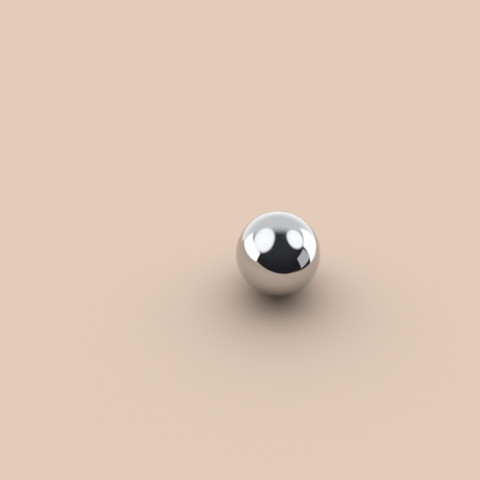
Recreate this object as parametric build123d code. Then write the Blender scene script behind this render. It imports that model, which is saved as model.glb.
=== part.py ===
from build123d import *
import os

# Steel ball for a bench or a desk: a loose bearing ball with a mirror finish.
#
# A slug of through-hardened steel is upset between two cups, and the blank is then
# ground and lapped to a true sphere. The ball is therefore one solid, with no seam,
# flat, hole or core. Sizes are in millimetres, +Z is up, and the origin is the
# centre of the ball.

# Driving dimension.
BALL_DIAMETER = 30.0  # nominal size, a preferred metric ball size

PARTS_FOLDER = "parts"


def make_steel_ball():
    """The whole ball, one closed solid centred on the origin."""
    return Sphere(radius=BALL_DIAMETER / 2)


def make_nodes():
    """Every separate piece of the object, by the name of its node."""
    return {"steel_ball": make_steel_ball()}


def write_parts(nodes):
    """One STEP file for each node, named after it."""
    os.makedirs(PARTS_FOLDER, exist_ok=True)
    for name, solid in nodes.items():
        solid.label = name
        export_step(solid, os.path.join(PARTS_FOLDER, f"{name}.step"))


write_parts(make_nodes())
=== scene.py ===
import math

import bpy
from mathutils import Matrix, Vector


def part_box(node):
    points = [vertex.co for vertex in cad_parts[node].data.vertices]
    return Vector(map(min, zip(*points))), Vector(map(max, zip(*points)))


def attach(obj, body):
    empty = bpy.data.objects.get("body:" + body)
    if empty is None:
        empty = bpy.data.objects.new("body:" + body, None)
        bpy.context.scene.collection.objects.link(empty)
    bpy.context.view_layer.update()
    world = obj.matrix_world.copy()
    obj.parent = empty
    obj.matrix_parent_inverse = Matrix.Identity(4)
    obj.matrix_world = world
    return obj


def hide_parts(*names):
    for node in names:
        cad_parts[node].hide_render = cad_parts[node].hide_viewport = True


bl_info = {
    "name": "Steel Ball",
    "version": (1, 0, 0),
    "blender": (4, 5, 0),
    "location": "View3D > Sidebar > Steel Ball",
    "description": "A lapped and polished steel ball on a plain pale stage",
    "category": "Object",
}

# The CAD ball is the frame: its box gives the size and the place of everything here.
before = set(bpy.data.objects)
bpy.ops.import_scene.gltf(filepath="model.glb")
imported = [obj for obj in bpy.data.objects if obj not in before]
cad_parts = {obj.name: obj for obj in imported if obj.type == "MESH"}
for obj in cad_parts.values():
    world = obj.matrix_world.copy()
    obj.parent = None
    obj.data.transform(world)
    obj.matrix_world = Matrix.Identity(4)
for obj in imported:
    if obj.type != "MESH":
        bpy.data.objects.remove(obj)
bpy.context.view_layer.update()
BALL_LOW, BALL_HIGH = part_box("steel_ball")
BALL_DIAMETER = max(BALL_HIGH - BALL_LOW)
MM = 0.001  # metres in a millimetre
FLOOR_COLOUR = "#E3CCBA"


def linear(hex_colour):
    """The linear colour of an sRGB hex value."""
    shares = [int(hex_colour[i : i + 2], 16) / 255 for i in (1, 3, 5)]
    return tuple(s / 12.92 if s <= 0.04045 else ((s + 0.055) / 1.055) ** 2.4 for s in shares)


def towards(azimuth, elevation):
    """The direction from the ball, with azimuth 0 in front (-Y) and 90 degrees on its right (+X)."""
    flat = math.cos(elevation)
    return Vector((math.sin(azimuth) * flat, -math.cos(azimuth) * flat, math.sin(elevation)))


def add_node(tree, kind, settings=None, inputs=None):
    """Adds a node with its settings, and its inputs by name or number, each a value or a socket to link from."""
    node = tree.nodes.new(kind)
    for name, value in (settings or {}).items():
        setattr(node, name, value)
    for key, value in (inputs or {}).items():
        if isinstance(value, bpy.types.NodeSocket):
            tree.links.new(value, node.inputs[key])
        else:
            node.inputs[key].default_value = value
    return node


def new_object(name, data):
    """An object at the origin, in the scene."""
    made = bpy.data.objects.new(name, data)
    bpy.context.scene.collection.objects.link(made)
    return made


def new_material(name):
    """A material with an empty tree, that tree, and the place on the object as its first node gives it."""
    material = bpy.data.materials.new(name)
    material.use_nodes = True
    tree = material.node_tree
    tree.nodes.clear()
    return material, tree, add_node(tree, "ShaderNodeTexCoord").outputs["Object"]


# ---------------------------------------------------------------- settings


class BallSettings(bpy.types.PropertyGroup):
    diameter: bpy.props.FloatProperty(
        name="Diameter", description="Size across the ball", default=BALL_DIAMETER,
        min=1 * MM, precision=4, subtype="DISTANCE", unit="LENGTH",
    )
    divisions: bpy.props.IntProperty(
        name="Divisions", description="Faces along each edge of the six sides the sphere is built from",
        default=96, min=8, max=128,
    )
    steel: bpy.props.FloatVectorProperty(
        name="Steel", description="Colour that the polished steel reflects",
        default=linear("#C5C6C8"), min=0, max=1, subtype="COLOR",
    )
    lapping_pitch: bpy.props.FloatProperty(
        name="Lapping Pitch", description="Distance between the finest lapping lines",
        default=0.22 * MM, min=0.02 * MM, precision=5, subtype="DISTANCE", unit="LENGTH",
    )
    lapping_depth: bpy.props.FloatProperty(
        name="Lapping Depth", description="Depth of the lapping lines",
        default=0.0006 * MM, min=0, precision=7, subtype="DISTANCE", unit="LENGTH",
    )
    hairline_spacing: bpy.props.FloatProperty(
        name="Hairline Spacing", description="Average distance between the single hairlines",
        default=1.3 * MM, min=0.1 * MM, precision=5, subtype="DISTANCE", unit="LENGTH",
    )
    hairline_width: bpy.props.FloatProperty(
        name="Hairline Width", description="Width of a single hairline",
        default=0.10 * MM, min=0.01 * MM, precision=5, subtype="DISTANCE", unit="LENGTH",
    )


class StageSettings(bpy.types.PropertyGroup):
    floor: bpy.props.FloatVectorProperty(
        name="Floor", description="Colour of the floor and of what lies behind it",
        default=linear(FLOOR_COLOUR), min=0, max=1, subtype="COLOR",
    )
    floor_half: bpy.props.FloatVectorProperty(
        name="Floor Half Size", description="From the middle of the floor to where it has melted into the background",
        default=(116 * MM, 97 * MM), size=2, min=50 * MM, subtype="XYZ", unit="LENGTH",
    )
    floor_middle: bpy.props.FloatVectorProperty(
        name="Floor Middle", description="Where the middle of the floor is, from the ball",
        default=(-38 * MM, -37 * MM), size=2, subtype="XYZ", unit="LENGTH",
    )
    elevation: bpy.props.FloatProperty(
        name="Camera Elevation", description="Height of the camera above the horizon, as an angle",
        default=math.radians(48), subtype="ANGLE", unit="ROTATION",
    )
    distance: bpy.props.FloatProperty(
        name="Camera Distance", description="Distance from the camera to the centre of the ball",
        default=0.757, min=0.1, subtype="DISTANCE", unit="LENGTH",
    )
    lens: bpy.props.FloatProperty(
        name="Lens", description="Focal length in millimetres", default=160, min=20,
    )


# ---------------------------------------------------------------- the ball


# A ball turns about an axis that keeps changing while it is lapped, so its lines are arcs of circles about several
# axes. These are the turns, in radians, from the ball's own axes to four of them.
LAPPING_TURNS = ((0.35, 0.2, 0.0), (1.25, -0.5, 0.6), (-0.9, 1.1, 1.9), (0.1, 1.45, -0.8))
PATCH_SIZE = 6 * MM  # of the places where one axis was the last one
PATCH_EDGE = (0.46, 0.66)  # noise values where such a place starts and where its lines are in full
PATCH_STEP = 3.7  # along the noise's fourth coordinate, from one axis's patches to the next one's
HAIRLINE_CORE = 0.3  # the part of a hairline's half width that is as deep as its middle
HAZE_SIZE = 4 * MM  # of the soft patches that handling and a wipe with an oily cloth leave
HAZE_EDGE = (0.35, 0.75)  # noise values where the steel is clearest and haziest
HAZE_ROUGHNESS = (0.02, 0.065)  # the steel's roughness at the two
HAZE_TONE = (0.955, 0.95, 0.94)  # what haze leaves of the steel's colour, so it is warmer and a little darker there
LINE_ROUGHNESS = 0.025  # what a lapping line adds
HAIRLINE_ROUGHNESS = 0.20  # what the deepest hairline adds


def lapped_steel(settings):
    """Through-hardened chrome steel, ground, lapped between plates and polished. It gives a neutral, faintly cool
    mirror with crisp edges in it, which only close up shows a soft haze and the crossing arcs of the last lapping."""
    material, tree, place = new_material("Chrome bearing steel, lapped and polished")
    height, scratched = 0.0, 0.0
    for number, turn in enumerate(LAPPING_TURNS):
        turned = add_node(tree, "ShaderNodeMapping", {"vector_type": "POINT"}, {"Vector": place, "Rotation": turn})
        along = add_node(tree, "ShaderNodeSeparateXYZ", inputs={0: turned.outputs[0]}).outputs["Z"]
        # Real lines are about 0.01 mm apart, too fine to show, so they are drawn at the lapping pitch.
        lines = add_node(
            tree, "ShaderNodeTexNoise", {"noise_dimensions": "1D"},
            {"W": along, "Scale": 1 / settings.lapping_pitch, "Detail": 2.0, "Roughness": 0.6},
        )
        # The lines about each axis show only in patches of their own.
        patch = add_node(
            tree, "ShaderNodeTexNoise", {"noise_dimensions": "4D"},
            {"Vector": place, "W": PATCH_STEP * number, "Scale": 1 / PATCH_SIZE, "Detail": 1.0},
        )
        shown = add_node(
            tree, "ShaderNodeMapRange", {"interpolation_type": "SMOOTHSTEP"},
            {"Value": patch.outputs[0], "From Min": PATCH_EDGE[0], "From Max": PATCH_EDGE[1]},
        ).outputs[0]
        height = add_node(
            tree, "ShaderNodeMath", {"operation": "MULTIPLY_ADD"}, {0: lines.outputs[0], 1: shown, 2: height},
        ).outputs[0]
        # A stray grain of grit leaves a single hairline, and no two are equally deep: most are faint, as the square
        # of chance is. A real one is a few hundredths of a millimetre wide, and is drawn wider so that it shows.
        strays = add_node(
            tree, "ShaderNodeTexVoronoi", {"voronoi_dimensions": "1D"},
            {"W": along, "Scale": 1 / settings.hairline_spacing},
        )
        half_width = settings.hairline_width / settings.hairline_spacing / 2
        hairline = add_node(
            tree, "ShaderNodeMapRange", {"interpolation_type": "SMOOTHSTEP"},
            {"Value": strays.outputs["Distance"], "From Min": HAIRLINE_CORE * half_width, "From Max": half_width,
             "To Min": 1.0, "To Max": 0.0},
        ).outputs[0]
        chance = add_node(tree, "ShaderNodeSeparateColor", inputs={0: strays.outputs["Color"]}).outputs[0]
        deep = add_node(tree, "ShaderNodeMath", {"operation": "POWER"}, {0: chance, 1: 2.0}).outputs[0]
        cut = add_node(tree, "ShaderNodeMath", {"operation": "MULTIPLY"}, {0: hairline, 1: deep}).outputs[0]
        scratched = add_node(
            tree, "ShaderNodeMath", {"operation": "MULTIPLY_ADD"}, {0: cut, 1: shown, 2: scratched},
        ).outputs[0]

    haze = add_node(
        tree, "ShaderNodeTexNoise", inputs={"Vector": place, "Scale": 1 / HAZE_SIZE, "Detail": 3.0, "Distortion": 0.4},
    )
    cloudy = add_node(
        tree, "ShaderNodeMapRange", {"interpolation_type": "SMOOTHSTEP"},
        {"Value": haze.outputs[0], "From Min": HAZE_EDGE[0], "From Max": HAZE_EDGE[1],
         "To Min": HAZE_ROUGHNESS[0], "To Max": HAZE_ROUGHNESS[1]},
    ).outputs[0]
    lined = add_node(
        tree, "ShaderNodeMath", {"operation": "MULTIPLY_ADD"}, {0: height, 1: LINE_ROUGHNESS, 2: cloudy},
    ).outputs[0]
    roughness = add_node(
        tree, "ShaderNodeMath", {"operation": "MULTIPLY_ADD"}, {0: scratched, 1: HAIRLINE_ROUGHNESS, 2: lined},
    )
    relief = add_node(tree, "ShaderNodeMath", {"operation": "SUBTRACT"}, {0: height, 1: scratched})
    hazy = [colour * left for colour, left in zip(settings.steel, HAZE_TONE)]
    tone = add_node(
        tree, "ShaderNodeMix", {"data_type": "RGBA"}, {0: haze.outputs[0], 6: (*settings.steel, 1), 7: (*hazy, 1)},
    )
    bump = add_node(
        tree, "ShaderNodeBump",
        inputs={"Strength": 1.0, "Distance": settings.lapping_depth, "Height": relief.outputs[0]},
    )
    steel = add_node(
        tree, "ShaderNodeBsdfPrincipled",
        inputs={
            "Base Color": tone.outputs[2], "Metallic": 1.0, "Roughness": roughness.outputs[0],
            "Normal": bump.outputs[0],
        },
    )
    add_node(tree, "ShaderNodeOutputMaterial", inputs={"Surface": steel.outputs[0]})
    return material


LAYOUT_CELLS = (3, 2, 1)  # across and up the texture layout, one for each side of the cube
CELL_USED = 0.985  # the part of each cell that its side takes, so that the sides don't touch


def ball_tree():
    """A sphere from a cube of square faces, all nearly the same size, with an even texture layout of its sides."""
    tree = bpy.data.node_groups.new("Ground ball", "GeometryNodeTree")
    tree.interface.new_socket(name="Diameter", in_out="INPUT", socket_type="NodeSocketFloat")
    tree.interface.new_socket(name="Divisions", in_out="INPUT", socket_type="NodeSocketInt")
    tree.interface.new_socket(name="Finish", in_out="INPUT", socket_type="NodeSocketMaterial")
    tree.interface.new_socket(name="Geometry", in_out="OUTPUT", socket_type="NodeSocketGeometry")
    given = add_node(tree, "NodeGroupInput")

    points = add_node(
        tree, "ShaderNodeMath", {"operation": "ADD"}, {0: given.outputs["Divisions"], 1: 1.0},
    ).outputs[0]
    cube = add_node(
        tree, "GeometryNodeMeshCube",
        inputs={"Size": (2, 2, 2), "Vertices X": points, "Vertices Y": points, "Vertices Z": points},
    )
    place = add_node(tree, "GeometryNodeInputPosition").outputs[0]

    # Each side of the cube gets a cell of the layout. Its place there comes from the two coordinates that vary over
    # the side, and the cell from the way the side faces: X, Y or Z is the column, and minus or plus is the row.
    normal = add_node(tree, "GeometryNodeInputNormal").outputs[0]
    faced = add_node(
        tree, "GeometryNodeFieldOnDomain", {"data_type": "FLOAT_VECTOR", "domain": "FACE"}, {0: normal},
    ).outputs[0]
    side = add_node(tree, "ShaderNodeVectorMath", {"operation": "ABSOLUTE"}, {0: faced}).outputs[0]
    split = add_node(tree, "ShaderNodeSeparateXYZ", inputs={0: place}).outputs
    turned = [
        add_node(tree, "ShaderNodeCombineXYZ", inputs={i: split[(i + step) % 3] for i in range(3)}).outputs[0]
        for step in (1, 2)
    ]
    sign, across, up, column = (
        add_node(tree, "ShaderNodeVectorMath", {"operation": "DOT_PRODUCT"}, {0: one, 1: other}).outputs["Value"]
        for one, other in ((faced, (1, 1, 1)), (side, turned[0]), (side, turned[1]), (side, (0.5, 1.5, 2.5)))
    )
    across = add_node(tree, "ShaderNodeMath", {"operation": "MULTIPLY"}, {0: across, 1: sign}).outputs[0]
    row = add_node(tree, "ShaderNodeMath", {"operation": "MULTIPLY_ADD"}, {0: sign, 1: 0.5, 2: 1.0}).outputs[0]
    half = CELL_USED / 2
    cell_place = [
        add_node(tree, "ShaderNodeMath", {"operation": "MULTIPLY_ADD"}, {0: value, 1: half, 2: cell}).outputs[0]
        for value, cell in ((across, column), (up, row))
    ]
    spread = add_node(tree, "ShaderNodeCombineXYZ", inputs=dict(enumerate(cell_place))).outputs[0]
    layout = add_node(tree, "ShaderNodeVectorMath", {"operation": "DIVIDE"}, {0: spread, 1: LAYOUT_CELLS}).outputs[0]
    mapped = add_node(
        tree, "GeometryNodeStoreNamedAttribute", {"data_type": "FLOAT2", "domain": "CORNER"},
        {"Geometry": cube.outputs["Mesh"], "Name": "OFBake", "Value": layout},
    )

    # The tangent gives every row of faces the same angle, and normalising takes the cube out to a sphere.
    quarter = math.pi / 4
    angle = add_node(tree, "ShaderNodeVectorMath", {"operation": "SCALE"}, {0: place, "Scale": quarter}).outputs[0]
    even = add_node(tree, "ShaderNodeVectorMath", {"operation": "TANGENT"}, {0: angle}).outputs[0]
    unit = add_node(tree, "ShaderNodeVectorMath", {"operation": "NORMALIZE"}, {0: even}).outputs[0]
    radius = add_node(
        tree, "ShaderNodeMath", {"operation": "MULTIPLY"}, {0: given.outputs["Diameter"], 1: 0.5},
    ).outputs[0]
    out = add_node(tree, "ShaderNodeVectorMath", {"operation": "SCALE"}, {0: unit, "Scale": radius}).outputs[0]
    ground = add_node(tree, "GeometryNodeSetPosition", inputs={"Geometry": mapped.outputs[0], "Position": out})
    smooth = add_node(tree, "GeometryNodeSetShadeSmooth", inputs={"Geometry": ground.outputs[0]})
    real = add_node(tree, "GeometryNodeRealizeInstances", inputs={"Geometry": smooth.outputs[0]})
    finished = add_node(
        tree, "GeometryNodeSetMaterial", inputs={"Geometry": real.outputs[0], "Material": given.outputs["Finish"]},
    )
    add_node(tree, "NodeGroupOutput", inputs={0: finished.outputs[0]})
    return tree


class BALL_OT_polished_ball(bpy.types.Operator):
    """Makes the polished ball, in place of the plain one"""

    bl_idname = "steel_ball.polished_ball"
    bl_label = "Polished Ball"

    def execute(self, context):
        settings = context.scene.steel_ball
        shape = new_object("polished_steel_ball", bpy.data.meshes.new("polished_steel_ball"))
        modifier = shape.modifiers.new("Ground ball", "NODES")
        modifier.node_group = ball_tree()
        given = {s.name: s.identifier for s in modifier.node_group.interface.items_tree if s.in_out == "INPUT"}
        modifier[given["Diameter"]] = settings.diameter
        modifier[given["Divisions"]] = settings.divisions
        modifier[given["Finish"]] = lapped_steel(settings)
        shape.update_tag()
        made = bpy.data.meshes.new_from_object(shape.evaluated_get(context.evaluated_depsgraph_get()))
        shape.modifiers.clear()
        shape.data = made
        if len(made.polygons) != 6 * settings.divisions**2:
            raise RuntimeError(f"the ball has {len(made.polygons)} faces, so its node tree didn't run")
        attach(shape, "root")
        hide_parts("steel_ball")
        return {"FINISHED"}


# ---------------------------------------------------------------- the stage

# What the steel mirrors. Each card is (name, azimuth, elevation, half width, half height, roll, colour, light, soft
# edge), with the angles in degrees as seen from the ball, a light of 1 for plain white, and the soft edge as a share
# of the card. Azimuth 0 is in front and 90 on the right. The paper cards stand where the floor ends, and raise its
# outline on the left and in front: they are no lamps, but glow in the floor's colour about as brightly as the lit
# floor, a painted reflection of the floor.
SOFTBOXES = (
    ("softbox_left", -97, 53, 37, 31, 0, "#FFFFFF", 1.75, 0.28),
    ("softbox_right", 102.5, 46, 28, 25.5, 0, "#FFFFFF", 1.75, 0.30),
)
PANELS = (
    ("panel_left", -94, 12, 34, 15.5, -12, "#FFFFFF", 1.9, 0.10),
    ("panel_right", 113, -2, 26, 27, 6, "#FFFFFF", 2.0, 0.25),
    # Painted reflection: the grey card is no lamp; it glows as a lit grey card would look, and lights nothing.
    ("glowing_grey_card", 72, 5, 16, 15.5, -6, "#FFFBFF", 0.745, 0.06),
    # Painted reflection: the two paper cards glow in the floor's colour at about the lit floor's brightness, and light
    # nothing.
    ("glowing_paper_left", -88, -9.5, 39, 9, -12, FLOOR_COLOUR, 0.94, 0.06),
    ("glowing_paper_front", -22, -9.8, 40, 9, 14, FLOOR_COLOUR, 0.94, 0.06),
)
STUDIO_DISTANCE = 1.5  # from the ball to every card
FALLOFF = 0.12  # how much dimmer a softbox is at its edge than in its middle
# The mirrored room turns from dark to bright, and the light on the floor grows from its least to its most, between
# these shares of the way from straight in front (-1) to straight behind (1).
BACKDROP = (0.17, 0.66)
KEY = (-0.40, 0.55)
FRONT_FILL = 0.12  # the least of that light, where 1 is an even white sky
BACKDROP_HEIGHTS = (-0.35, 0.30)  # sines of the heights between which the bright backdrop dims
BACKDROP_LIGHT = (1.34, 0.97)  # its light at the two
DARK_HEIGHTS = (0.0, 0.9)  # sines of the heights between which the dark front of the room gets lighter
DARK = ("#2B282D", "#404245")  # its colours at the two
FLOOR_MELTS = (0.8, 0.995)  # shares of the way to the floor's edge where it starts to melt and where it is gone
CAMERA_AIM = (-13.5 * MM, 4.9 * MM)  # from the ball's centre, to the right and up as the camera sees it


def new_board(name, half):
    """A flat board at the origin, of the given half width and half height, facing up."""
    mesh = bpy.data.meshes.new(name)
    corners = [(x * half[0], y * half[1], 0) for x, y in ((-1, -1), (1, -1), (1, 1), (-1, 1))]
    mesh.from_pydata(corners, [], [(0, 1, 2, 3)])
    return new_object(name, mesh)


def smoothstep(low, high, value):
    """0 up to low, 1 from high, and a smooth rise between them."""
    share = min(max((value - low) / (high - low), 0.0), 1.0)
    return share * share * (3 - 2 * share)


def add_card(name, azimuth, elevation, half_width, half_height, roll, colour, light, soft, rounded):
    """A glowing card that faces the ball and shows only in the steel."""
    half = [STUDIO_DISTANCE * math.tan(math.radians(a)) for a in (half_width, half_height)]
    card = new_board(name, half)
    away = towards(math.radians(azimuth), math.radians(elevation))
    facing = (-away).to_track_quat("Z", "Y").to_matrix().to_4x4()
    turn = Matrix.Rotation(math.radians(roll), 4, "Z")
    card.matrix_world = Matrix.Translation(away * STUDIO_DISTANCE) @ facing @ turn
    card.visible_camera = False
    card.visible_diffuse = False
    card.visible_shadow = False

    material, tree, place = new_material(name)
    share = add_node(tree, "ShaderNodeVectorMath", {"operation": "DIVIDE"}, {0: place, 1: (*half, 1)}).outputs[0]
    if rounded:
        out = add_node(tree, "ShaderNodeVectorMath", {"operation": "LENGTH"}, {0: share}).outputs["Value"]
    else:
        size = add_node(tree, "ShaderNodeVectorMath", {"operation": "ABSOLUTE"}, {0: share}).outputs[0]
        parts = add_node(tree, "ShaderNodeSeparateXYZ", inputs={0: size}).outputs
        out = add_node(tree, "ShaderNodeMath", {"operation": "MAXIMUM"}, {0: parts[0], 1: parts[1]}).outputs[0]
    lit = add_node(
        tree, "ShaderNodeMapRange", {"interpolation_type": "SMOOTHSTEP"},
        {"Value": out, "From Min": 1 - soft, "From Max": 1.0, "To Min": 1.0, "To Max": 0.0},
    ).outputs[0]
    if rounded:
        squared = add_node(tree, "ShaderNodeMath", {"operation": "MULTIPLY"}, {0: out, 1: out}).outputs[0]
        light = add_node(
            tree, "ShaderNodeMath", {"operation": "MULTIPLY_ADD"}, {0: squared, 1: -FALLOFF * light, 2: light},
        ).outputs[0]
    glow = add_node(tree, "ShaderNodeEmission", inputs={"Color": (*linear(colour), 1), "Strength": light})
    clear = add_node(tree, "ShaderNodeBsdfTransparent")
    mixed = add_node(tree, "ShaderNodeMixShader", inputs={0: lit, 1: clear.outputs[0], 2: glow.outputs[0]})
    add_node(tree, "ShaderNodeOutputMaterial", inputs={"Surface": mixed.outputs[0]})
    card.data.materials.append(material)


def add_floor(settings):
    """The board that the ball stands on, which has round corners and melts into the background at its edge."""
    half = settings.floor_half
    floor = new_board("floor", half)
    floor.location = (*settings.floor_middle, BALL_LOW.z)

    material, tree, place = new_material("Painted board, matt")
    share = add_node(tree, "ShaderNodeVectorMath", {"operation": "DIVIDE"}, {0: place, 1: (*half, 1)}).outputs[0]
    # The fourth root of the sum of the fourth powers is 1 along the edge and turns the corners smoothly.
    for _ in range(2):
        share = add_node(tree, "ShaderNodeVectorMath", {"operation": "MULTIPLY"}, {0: share, 1: share}).outputs[0]
    fourths = add_node(tree, "ShaderNodeVectorMath", {"operation": "DOT_PRODUCT"}, {0: share, 1: (1, 1, 0)})
    out = add_node(tree, "ShaderNodeMath", {"operation": "POWER"}, {0: fourths.outputs["Value"], 1: 0.25}).outputs[0]
    melted = add_node(
        tree, "ShaderNodeMapRange", {"interpolation_type": "SMOOTHSTEP"},
        {"Value": out, "From Min": FLOOR_MELTS[0], "From Max": FLOOR_MELTS[1]},
    ).outputs[0]
    paint = add_node(tree, "ShaderNodeBsdfDiffuse", inputs={"Color": (*settings.floor, 1)})
    # What it melts into is the background's colour to the camera, and nothing at all to the steel and to light.
    background = add_node(tree, "ShaderNodeEmission", inputs={"Color": (*settings.floor, 1)})
    clear = add_node(tree, "ShaderNodeBsdfTransparent")
    camera = add_node(tree, "ShaderNodeLightPath").outputs["Is Camera Ray"]
    gone = add_node(tree, "ShaderNodeMixShader", inputs={0: camera, 1: clear.outputs[0], 2: background.outputs[0]})
    mixed = add_node(tree, "ShaderNodeMixShader", inputs={0: melted, 1: paint.outputs[0], 2: gone.outputs[0]})
    add_node(tree, "ShaderNodeOutputMaterial", inputs={"Surface": mixed.outputs[0]})
    floor.data.materials.append(material)


def back_fill():
    """How bright the back of the room has to be for the floor to be lit as an even white sky would light it.
    The room is added up over a grid on the floor's own disc, where every cell gives the floor the same light."""
    cells = 120
    steps = [2 * (i + 0.5) / cells - 1 for i in range(cells)]
    shares = [smoothstep(*KEY, y) for x in steps for y in steps if x * x + y * y < 1]
    return FRONT_FILL + (1 - FRONT_FILL) * len(shares) / sum(shares)


def add_world(settings):
    """The room. To the eye it is as pale as the floor. In the steel it is a white backdrop behind, which fades forwards
    into a dark studio. On the floor it is a soft light that grows towards the back."""
    world = bpy.data.worlds.new("Studio")
    bpy.context.scene.world = world
    world.use_nodes = True
    world.cycles.sampling_method = "NONE"  # a light map of the room can't tell one kind of ray from another
    tree = world.node_tree
    tree.nodes.clear()
    ray = add_node(tree, "ShaderNodeLightPath").outputs
    way = add_node(tree, "ShaderNodeTexCoord").outputs["Generated"]
    parts = add_node(tree, "ShaderNodeSeparateXYZ", inputs={0: way}).outputs
    back = add_node(
        tree, "ShaderNodeMapRange", {"interpolation_type": "SMOOTHSTEP"},
        {"Value": parts["Y"], "From Min": BACKDROP[0], "From Max": BACKDROP[1]},
    ).outputs[0]
    behind = add_node(
        tree, "ShaderNodeMapRange", {"interpolation_type": "SMOOTHSTEP"},
        {"Value": parts["Z"], "From Min": BACKDROP_HEIGHTS[0], "From Max": BACKDROP_HEIGHTS[1],
         "To Min": BACKDROP_LIGHT[0], "To Max": BACKDROP_LIGHT[1]},
    ).outputs[0]
    high = add_node(
        tree, "ShaderNodeMapRange", {"interpolation_type": "SMOOTHSTEP"},
        {"Value": parts["Z"], "From Min": DARK_HEIGHTS[0], "From Max": DARK_HEIGHTS[1]},
    ).outputs[0]
    dark = add_node(
        tree, "ShaderNodeMix", {"data_type": "RGBA"}, {0: high, 6: (*linear(DARK[0]), 1), 7: (*linear(DARK[1]), 1)},
    ).outputs[2]
    mirrored = add_node(tree, "ShaderNodeMix", {"data_type": "RGBA"}, {0: back, 6: dark, 7: behind}).outputs[2]
    lighting = add_node(
        tree, "ShaderNodeMapRange", {"interpolation_type": "SMOOTHSTEP"},
        {"Value": parts["Y"], "From Min": KEY[0], "From Max": KEY[1], "To Min": FRONT_FILL, "To Max": back_fill()},
    ).outputs[0]
    seen = add_node(tree, "ShaderNodeMix", {"data_type": "RGBA"}, {0: ray["Is Glossy Ray"], 6: lighting, 7: mirrored})
    shown = add_node(
        tree, "ShaderNodeMix", {"data_type": "RGBA"},
        {0: ray["Is Camera Ray"], 6: seen.outputs[2], 7: (*settings.floor, 1)},
    )
    sky = add_node(tree, "ShaderNodeBackground", inputs={"Color": shown.outputs[2], "Strength": 1.0})
    add_node(tree, "ShaderNodeOutputWorld", inputs={"Surface": sky.outputs[0]})


def add_camera(settings):
    """Looks down at the ball, which stands a little right of the middle and a little below it."""
    camera = new_object("camera", bpy.data.cameras.new("camera"))
    camera.data.lens = settings.lens
    camera.data.sensor_width = 36  # millimetres, as the lens is
    camera.data.clip_start, camera.data.clip_end = 0.01, 10
    towards_camera = towards(0, settings.elevation)
    right = Vector((1, 0, 0))
    up = towards_camera.cross(right)
    aim = CAMERA_AIM[0] * right + CAMERA_AIM[1] * up
    camera.location = aim + towards_camera * settings.distance
    camera.rotation_euler = (-towards_camera).to_track_quat("-Z", "Y").to_euler()
    bpy.context.scene.camera = camera


class BALL_OT_stage(bpy.types.Operator):
    """Makes the floor, the soft lights, the room and the camera"""

    bl_idname = "steel_ball.stage"
    bl_label = "Stage"

    def execute(self, context):
        settings = context.scene.steel_ball_stage
        for box in SOFTBOXES:
            add_card(*box, rounded=True)
        for panel in PANELS:
            add_card(*panel, rounded=False)
        add_floor(settings)
        add_world(settings)
        add_camera(settings)
        context.scene.view_settings.view_transform = "Standard"
        # Bright spots that the ball would throw on the floor are left out, so its shadow stays soft and plain.
        context.scene.cycles.caustics_reflective = False
        return {"FINISHED"}


class BALL_PT_panel(bpy.types.Panel):
    """Lists what makes the ball and its stage"""

    bl_idname = "BALL_PT_panel"
    bl_label = "Steel Ball"
    bl_space_type = "VIEW_3D"
    bl_region_type = "UI"
    bl_category = "Steel Ball"

    def draw(self, context):
        for title, group, operator in (
            ("Ball", context.scene.steel_ball, BALL_OT_polished_ball),
            ("Stage", context.scene.steel_ball_stage, BALL_OT_stage),
        ):
            box = self.layout.box()
            box.label(text=title)
            for name in group.bl_rna.properties.keys():
                if name not in ("rna_type", "name"):
                    box.prop(group, name)
            box.operator(operator.bl_idname)


CLASSES = (BallSettings, StageSettings, BALL_OT_polished_ball, BALL_OT_stage, BALL_PT_panel)


def register():
    for one in CLASSES:
        bpy.utils.register_class(one)
    bpy.types.Scene.steel_ball = bpy.props.PointerProperty(type=BallSettings)
    bpy.types.Scene.steel_ball_stage = bpy.props.PointerProperty(type=StageSettings)


def unregister():
    del bpy.types.Scene.steel_ball_stage
    del bpy.types.Scene.steel_ball
    for one in reversed(CLASSES):
        bpy.utils.unregister_class(one)


def main():
    register()
    bpy.ops.steel_ball.polished_ball()
    bpy.ops.steel_ball.stage()


if __name__ == "__main__":
    main()
